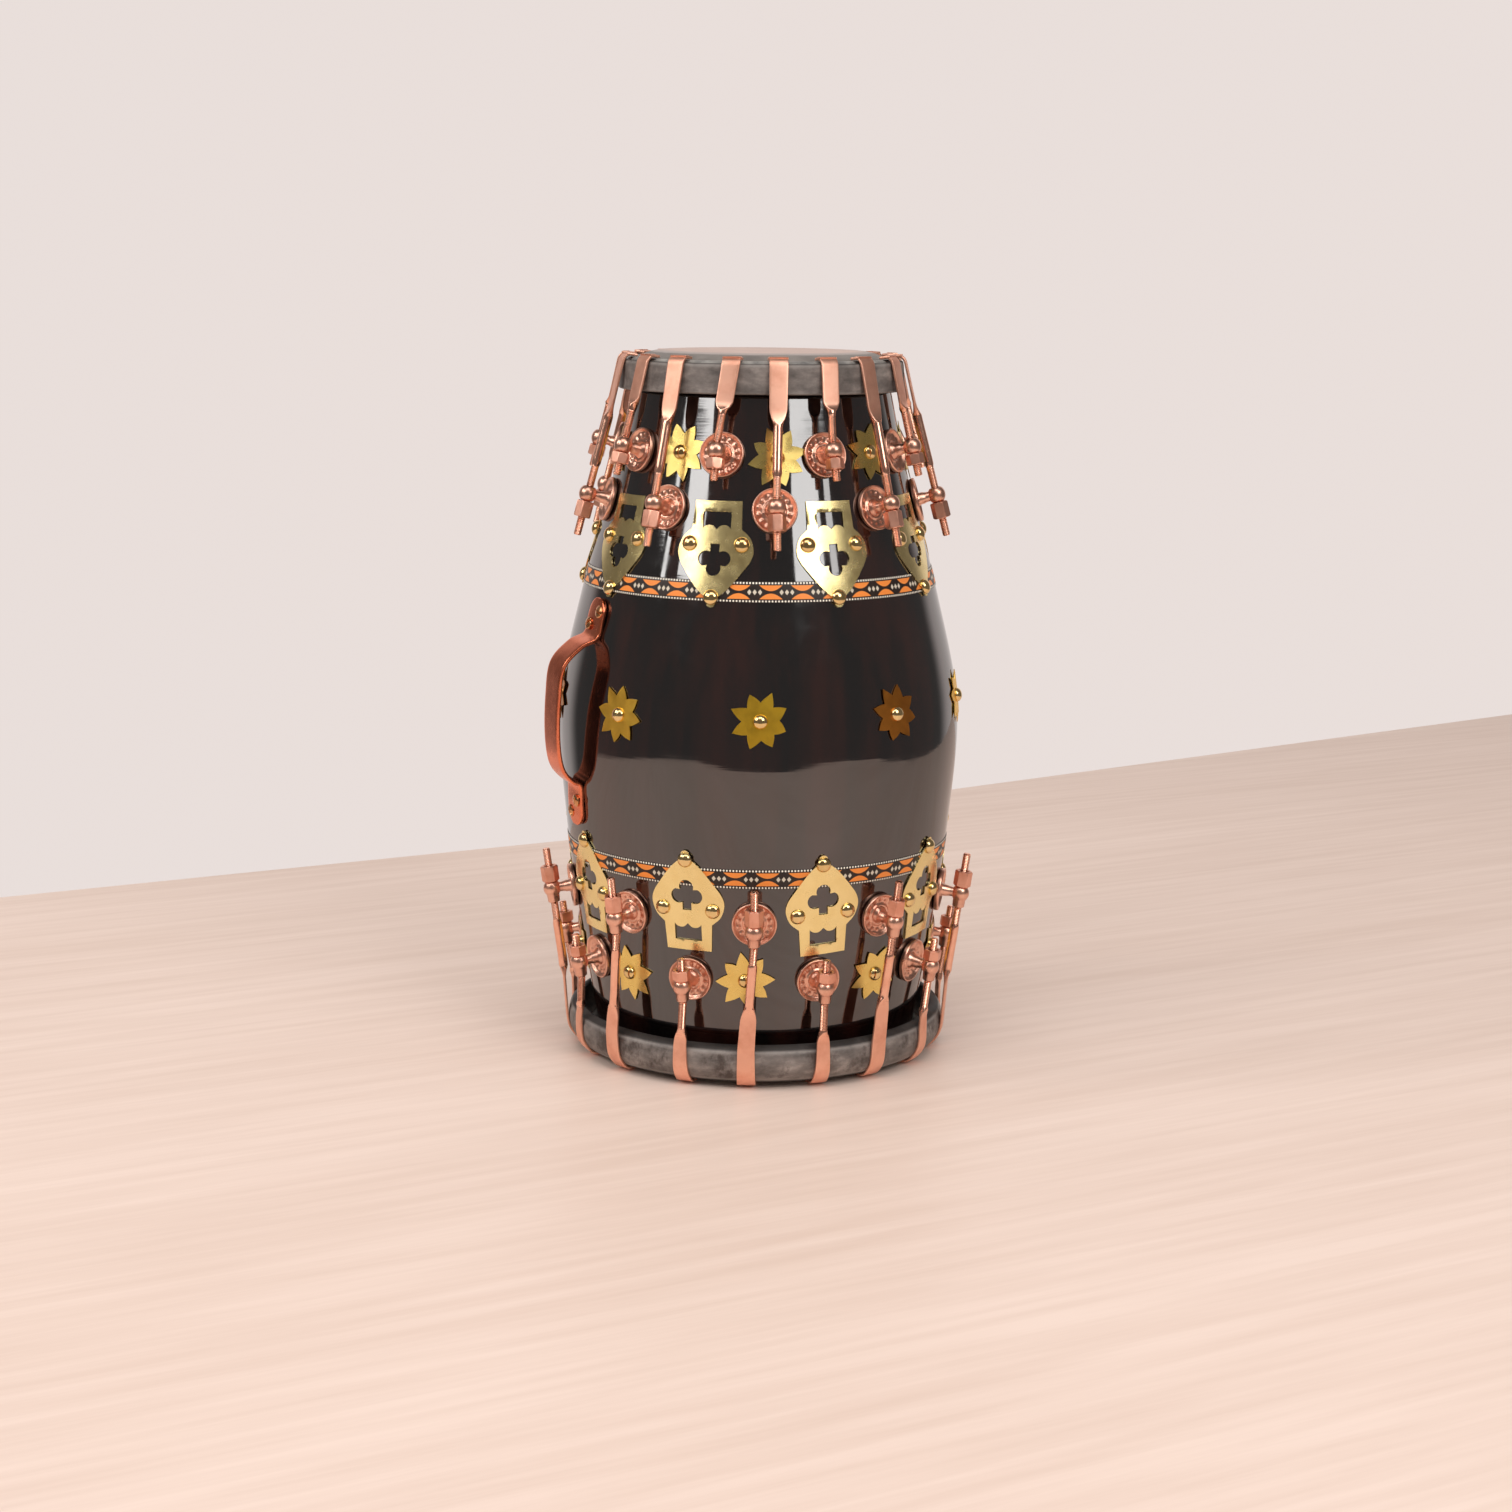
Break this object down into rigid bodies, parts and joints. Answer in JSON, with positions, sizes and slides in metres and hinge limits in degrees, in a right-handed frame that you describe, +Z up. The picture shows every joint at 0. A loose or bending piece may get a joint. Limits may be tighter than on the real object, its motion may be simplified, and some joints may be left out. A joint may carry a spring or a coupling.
{
  "type": "dholak",
  "caption": "Two-headed barrel drum tuned by hook bolts through ball eyes on both hoops, with brass plates and a side handle, standing on its bass head.",
  "frame": {"origin": "centre of the bass skin's outer face, which the drum stands on", "axes": "+Z up the drum's axis towards the treble skin, the handle on the -X side"},
  "size_m": [0.2943, 0.2847, 0.457],
  "materials": {
    "lacquered_wood": "high-gloss black lacquer",
    "skin": "smooth matt hide",
    "hide": "dark rolled hide",
    "hoop_iron": "mottled dark grey, hook bolts copper plated",
    "copper_plate": "polished copper plating",
    "brass": "polished brass",
    "paste": "dull dark paste"
  },
  "bodies": {
    "barrel": {"shell": "lacquered_wood", "treble_skin": "skin", "bass_skin": "skin", "treble_ornament_band": "brass", "bass_ornament_band": "brass", "bass_paste": "paste", "handle": "copper_plate", "handle_screw_1": "brass", "handle_screw_2": "brass", "handle_screw_3": "brass", "handle_screw_4": "brass", "middle_star_1": "brass", "middle_star_2": "brass", "middle_star_3": "brass", "middle_star_4": "brass", "middle_star_5": "brass", "middle_star_6": "brass", "middle_star_7": "brass", "middle_star_8": "brass", "middle_star_9": "brass"},
    "treble_tension": {"treble_hoop": "hoop_iron", "treble_flesh_ring": "hide"},
    "bass_tension": {"bass_hoop": "hoop_iron", "bass_flesh_ring": "hide"},
    "treble_nut_1": {"treble_nut_1": "copper_plate"},
    "treble_nut_2": {"treble_nut_2": "copper_plate"},
    "treble_nut_3": {"treble_nut_3": "copper_plate"},
    "treble_nut_4": {"treble_nut_4": "copper_plate"},
    "treble_nut_5": {"treble_nut_5": "copper_plate"},
    "treble_nut_6": {"treble_nut_6": "copper_plate"},
    "treble_nut_7": {"treble_nut_7": "copper_plate"},
    "treble_nut_8": {"treble_nut_8": "copper_plate"},
    "treble_nut_9": {"treble_nut_9": "copper_plate"},
    "treble_nut_10": {"treble_nut_10": "copper_plate"},
    "treble_nut_11": {"treble_nut_11": "copper_plate"},
    "treble_nut_12": {"treble_nut_12": "copper_plate"},
    "treble_nut_13": {"treble_nut_13": "copper_plate"},
    "treble_nut_14": {"treble_nut_14": "copper_plate"},
    "treble_nut_15": {"treble_nut_15": "copper_plate"},
    "treble_nut_16": {"treble_nut_16": "copper_plate"},
    "treble_nut_17": {"treble_nut_17": "copper_plate"},
    "treble_nut_18": {"treble_nut_18": "copper_plate"},
    "bass_nut_1": {"bass_nut_1": "copper_plate"},
    "bass_nut_2": {"bass_nut_2": "copper_plate"},
    "bass_nut_3": {"bass_nut_3": "copper_plate"},
    "bass_nut_4": {"bass_nut_4": "copper_plate"},
    "bass_nut_5": {"bass_nut_5": "copper_plate"},
    "bass_nut_6": {"bass_nut_6": "copper_plate"},
    "bass_nut_7": {"bass_nut_7": "copper_plate"},
    "bass_nut_8": {"bass_nut_8": "copper_plate"},
    "bass_nut_9": {"bass_nut_9": "copper_plate"},
    "bass_nut_10": {"bass_nut_10": "copper_plate"},
    "bass_nut_11": {"bass_nut_11": "copper_plate"},
    "bass_nut_12": {"bass_nut_12": "copper_plate"},
    "bass_nut_13": {"bass_nut_13": "copper_plate"},
    "bass_nut_14": {"bass_nut_14": "copper_plate"},
    "bass_nut_15": {"bass_nut_15": "copper_plate"},
    "bass_nut_16": {"bass_nut_16": "copper_plate"},
    "bass_nut_17": {"bass_nut_17": "copper_plate"},
    "bass_nut_18": {"bass_nut_18": "copper_plate"}
  },
  "joints": [
    {"name": "treble_hoop_slide", "type": "slide", "parent": "barrel", "child": "treble_tension", "axis": [0, 0, -1], "range_m": [-0.001, 0.0015]},
    {"name": "bass_hoop_slide", "type": "slide", "parent": "barrel", "child": "bass_tension", "axis": [0, 0, 1], "range_m": [-0.0005, 0.0015]},
    {"name": "treble_nut_1_spin", "type": "hinge", "parent": "barrel", "child": "treble_nut_1", "pos_m": [-0.04659, -0.10715, 0.3564], "axis": [0.1045, 0.2404, 0.965], "range_deg": [-350, 525]},
    {"name": "treble_nut_2_spin", "type": "hinge", "parent": "barrel", "child": "treble_nut_2", "pos_m": [-0.00655, -0.10716, 0.39128], "axis": [0.016, 0.2617, 0.965], "range_deg": [-350, 525]},
    {"name": "treble_nut_3_spin", "type": "hinge", "parent": "barrel", "child": "treble_nut_3", "pos_m": [0.03318, -0.11203, 0.3564], "axis": [-0.0745, 0.2514, 0.965], "range_deg": [-350, 525]},
    {"name": "treble_nut_4_spin", "type": "hinge", "parent": "barrel", "child": "treble_nut_4", "pos_m": [0.06386, -0.0863, 0.39128], "axis": [-0.156, 0.2108, 0.965], "range_deg": [-350, 525]},
    {"name": "treble_nut_5_spin", "type": "hinge", "parent": "barrel", "child": "treble_nut_5", "pos_m": [0.09743, -0.06449, 0.3564], "axis": [-0.2186, 0.1447, 0.965], "range_deg": [-350, 525]},
    {"name": "treble_nut_6_spin", "type": "hinge", "parent": "barrel", "child": "treble_nut_6", "pos_m": [0.10439, -0.02506, 0.39128], "axis": [-0.2549, 0.0612, 0.965], "range_deg": [-350, 525]},
    {"name": "treble_nut_7_spin", "type": "hinge", "parent": "barrel", "child": "treble_nut_7", "pos_m": [0.11609, 0.01323, 0.3564], "axis": [-0.2605, -0.0297, 0.965], "range_deg": [-350, 525]},
    {"name": "treble_nut_8_spin", "type": "hinge", "parent": "barrel", "child": "treble_nut_8", "pos_m": [0.09608, 0.0479, 0.39128], "axis": [-0.2346, -0.117, 0.965], "range_deg": [-350, 525]},
    {"name": "treble_nut_9_spin", "type": "hinge", "parent": "barrel", "child": "treble_nut_9", "pos_m": [0.08043, 0.08475, 0.3564], "axis": [-0.1805, -0.1902, 0.965], "range_deg": [-350, 525]},
    {"name": "treble_nut_10_spin", "type": "hinge", "parent": "barrel", "child": "treble_nut_10", "pos_m": [0.04281, 0.09846, 0.39128], "axis": [-0.1045, -0.2404, 0.965], "range_deg": [-350, 525]},
    {"name": "treble_nut_11_spin", "type": "hinge", "parent": "barrel", "child": "treble_nut_11", "pos_m": [0.00713, 0.11662, 0.3564], "axis": [-0.016, -0.2617, 0.965], "range_deg": [-350, 525]},
    {"name": "treble_nut_12_spin", "type": "hinge", "parent": "barrel", "child": "treble_nut_12", "pos_m": [-0.03049, 0.10294, 0.39128], "axis": [0.0745, -0.2514, 0.965], "range_deg": [-350, 525]},
    {"name": "treble_nut_13_spin", "type": "hinge", "parent": "barrel", "child": "treble_nut_13", "pos_m": [-0.0695, 0.09392, 0.3564], "axis": [0.156, -0.2108, 0.965], "range_deg": [-350, 525]},
    {"name": "treble_nut_14_spin", "type": "hinge", "parent": "barrel", "child": "treble_nut_14", "pos_m": [-0.08953, 0.05926, 0.39128], "axis": [0.2186, -0.1447, 0.965], "range_deg": [-350, 525]},
    {"name": "treble_nut_15_spin", "type": "hinge", "parent": "barrel", "child": "treble_nut_15", "pos_m": [-0.11361, 0.02728, 0.3564], "axis": [0.2549, -0.0612, 0.965], "range_deg": [-350, 525]},
    {"name": "treble_nut_16_spin", "type": "hinge", "parent": "barrel", "child": "treble_nut_16", "pos_m": [-0.10667, -0.01215, 0.39128], "axis": [0.2605, 0.0297, 0.965], "range_deg": [-350, 525]},
    {"name": "treble_nut_17_spin", "type": "hinge", "parent": "barrel", "child": "treble_nut_17", "pos_m": [-0.10456, -0.05213, 0.3564], "axis": [0.2346, 0.117, 0.965], "range_deg": [-350, 525]},
    {"name": "treble_nut_18_spin", "type": "hinge", "parent": "barrel", "child": "treble_nut_18", "pos_m": [-0.0739, -0.07788, 0.39128], "axis": [0.1805, 0.1902, 0.965], "range_deg": [-350, 525]},
    {"name": "bass_nut_1_spin", "type": "hinge", "parent": "barrel", "child": "bass_nut_1", "pos_m": [-0.06694, -0.12077, 0.11562], "axis": [0.07, 0.1263, -0.9895], "range_deg": [-180, 538]},
    {"name": "bass_nut_2_spin", "type": "hinge", "parent": "barrel", "child": "bass_nut_2", "pos_m": [-0.02067, -0.13053, 0.075], "axis": [0.0226, 0.1426, -0.9895], "range_deg": [-180, 538]},
    {"name": "bass_nut_3_spin", "type": "hinge", "parent": "barrel", "child": "bass_nut_3", "pos_m": [0.02635, -0.13555, 0.11562], "axis": [-0.0275, 0.1417, -0.9895], "range_deg": [-180, 538]},
    {"name": "bass_nut_4_spin", "type": "hinge", "parent": "barrel", "child": "bass_nut_4", "pos_m": [0.06807, -0.11328, 0.075], "axis": [-0.0743, 0.1237, -0.9895], "range_deg": [-180, 538]},
    {"name": "bass_nut_5_spin", "type": "hinge", "parent": "barrel", "child": "bass_nut_5", "pos_m": [0.10731, -0.0869, 0.11562], "axis": [-0.1122, 0.0908, -0.9895], "range_deg": [-180, 538]},
    {"name": "bass_nut_6_spin", "type": "hinge", "parent": "barrel", "child": "bass_nut_6", "pos_m": [0.12496, -0.04303, 0.075], "axis": [-0.1365, 0.047, -0.9895], "range_deg": [-180, 538]},
    {"name": "bass_nut_7_spin", "type": "hinge", "parent": "barrel", "child": "bass_nut_7", "pos_m": [0.13806, 0.00241, 0.11562], "axis": [-0.1443, -0.0025, -0.9895], "range_deg": [-180, 538]},
    {"name": "bass_nut_8_spin", "type": "hinge", "parent": "barrel", "child": "bass_nut_8", "pos_m": [0.12338, 0.04736, 0.075], "axis": [-0.1348, -0.0517, -0.9895], "range_deg": [-180, 538]},
    {"name": "bass_nut_9_spin", "type": "hinge", "parent": "barrel", "child": "bass_nut_9", "pos_m": [0.10421, 0.09059, 0.11562], "axis": [-0.1089, -0.0947, -0.9895], "range_deg": [-180, 538]},
    {"name": "bass_nut_10_spin", "type": "hinge", "parent": "barrel", "child": "bass_nut_10", "pos_m": [0.06407, 0.11559, 0.075], "axis": [-0.07, -0.1263, -0.9895], "range_deg": [-180, 538]},
    {"name": "bass_nut_11_spin", "type": "hinge", "parent": "barrel", "child": "bass_nut_11", "pos_m": [0.0216, 0.13638, 0.11562], "axis": [-0.0226, -0.1426, -0.9895], "range_deg": [-180, 538]},
    {"name": "bass_nut_12_spin", "type": "hinge", "parent": "barrel", "child": "bass_nut_12", "pos_m": [-0.02522, 0.12973, 0.075], "axis": [0.0275, -0.1417, -0.9895], "range_deg": [-180, 538]},
    {"name": "bass_nut_13_spin", "type": "hinge", "parent": "barrel", "child": "bass_nut_13", "pos_m": [-0.07112, 0.11836, 0.11562], "axis": [0.0743, -0.1237, -0.9895], "range_deg": [-180, 538]},
    {"name": "bass_nut_14_spin", "type": "hinge", "parent": "barrel", "child": "bass_nut_14", "pos_m": [-0.10271, 0.08317, 0.075], "axis": [0.1122, -0.0908, -0.9895], "range_deg": [-180, 538]},
    {"name": "bass_nut_15_spin", "type": "hinge", "parent": "barrel", "child": "bass_nut_15", "pos_m": [-0.13056, 0.04496, 0.11562], "axis": [0.1365, -0.047, -0.9895], "range_deg": [-180, 538]},
    {"name": "bass_nut_16_spin", "type": "hinge", "parent": "barrel", "child": "bass_nut_16", "pos_m": [-0.13214, -0.00231, 0.075], "axis": [0.1443, 0.0025, -0.9895], "range_deg": [-180, 538]},
    {"name": "bass_nut_17_spin", "type": "hinge", "parent": "barrel", "child": "bass_nut_17", "pos_m": [-0.12891, -0.04948, 0.11562], "axis": [0.1348, 0.0517, -0.9895], "range_deg": [-180, 538]},
    {"name": "bass_nut_18_spin", "type": "hinge", "parent": "barrel", "child": "bass_nut_18", "pos_m": [-0.09974, -0.0867, 0.075], "axis": [0.1089, 0.0947, -0.9895], "range_deg": [-180, 538]}
  ],
  "couplings": [
    {"joint": "treble_nut_1_spin", "follows": "treble_hoop_slide", "rad_per_m": 6063.4},
    {"joint": "treble_nut_2_spin", "follows": "treble_hoop_slide", "rad_per_m": 6063.4},
    {"joint": "treble_nut_3_spin", "follows": "treble_hoop_slide", "rad_per_m": 6063.4},
    {"joint": "treble_nut_4_spin", "follows": "treble_hoop_slide", "rad_per_m": 6063.4},
    {"joint": "treble_nut_5_spin", "follows": "treble_hoop_slide", "rad_per_m": 6063.4},
    {"joint": "treble_nut_6_spin", "follows": "treble_hoop_slide", "rad_per_m": 6063.4},
    {"joint": "treble_nut_7_spin", "follows": "treble_hoop_slide", "rad_per_m": 6063.4},
    {"joint": "treble_nut_8_spin", "follows": "treble_hoop_slide", "rad_per_m": 6063.4},
    {"joint": "treble_nut_9_spin", "follows": "treble_hoop_slide", "rad_per_m": 6063.4},
    {"joint": "treble_nut_10_spin", "follows": "treble_hoop_slide", "rad_per_m": 6063.4},
    {"joint": "treble_nut_11_spin", "follows": "treble_hoop_slide", "rad_per_m": 6063.4},
    {"joint": "treble_nut_12_spin", "follows": "treble_hoop_slide", "rad_per_m": 6063.4},
    {"joint": "treble_nut_13_spin", "follows": "treble_hoop_slide", "rad_per_m": 6063.4},
    {"joint": "treble_nut_14_spin", "follows": "treble_hoop_slide", "rad_per_m": 6063.4},
    {"joint": "treble_nut_15_spin", "follows": "treble_hoop_slide", "rad_per_m": 6063.4},
    {"joint": "treble_nut_16_spin", "follows": "treble_hoop_slide", "rad_per_m": 6063.4},
    {"joint": "treble_nut_17_spin", "follows": "treble_hoop_slide", "rad_per_m": 6063.4},
    {"joint": "treble_nut_18_spin", "follows": "treble_hoop_slide", "rad_per_m": 6063.4},
    {"joint": "bass_nut_1_spin", "follows": "bass_hoop_slide", "rad_per_m": 6217.4},
    {"joint": "bass_nut_2_spin", "follows": "bass_hoop_slide", "rad_per_m": 6217.4},
    {"joint": "bass_nut_3_spin", "follows": "bass_hoop_slide", "rad_per_m": 6217.4},
    {"joint": "bass_nut_4_spin", "follows": "bass_hoop_slide", "rad_per_m": 6217.4},
    {"joint": "bass_nut_5_spin", "follows": "bass_hoop_slide", "rad_per_m": 6217.4},
    {"joint": "bass_nut_6_spin", "follows": "bass_hoop_slide", "rad_per_m": 6217.4},
    {"joint": "bass_nut_7_spin", "follows": "bass_hoop_slide", "rad_per_m": 6217.4},
    {"joint": "bass_nut_8_spin", "follows": "bass_hoop_slide", "rad_per_m": 6217.4},
    {"joint": "bass_nut_9_spin", "follows": "bass_hoop_slide", "rad_per_m": 6217.4},
    {"joint": "bass_nut_10_spin", "follows": "bass_hoop_slide", "rad_per_m": 6217.4},
    {"joint": "bass_nut_11_spin", "follows": "bass_hoop_slide", "rad_per_m": 6217.4},
    {"joint": "bass_nut_12_spin", "follows": "bass_hoop_slide", "rad_per_m": 6217.4},
    {"joint": "bass_nut_13_spin", "follows": "bass_hoop_slide", "rad_per_m": 6217.4},
    {"joint": "bass_nut_14_spin", "follows": "bass_hoop_slide", "rad_per_m": 6217.4},
    {"joint": "bass_nut_15_spin", "follows": "bass_hoop_slide", "rad_per_m": 6217.4},
    {"joint": "bass_nut_16_spin", "follows": "bass_hoop_slide", "rad_per_m": 6217.4},
    {"joint": "bass_nut_17_spin", "follows": "bass_hoop_slide", "rad_per_m": 6217.4},
    {"joint": "bass_nut_18_spin", "follows": "bass_hoop_slide", "rad_per_m": 6217.4}
  ]
}
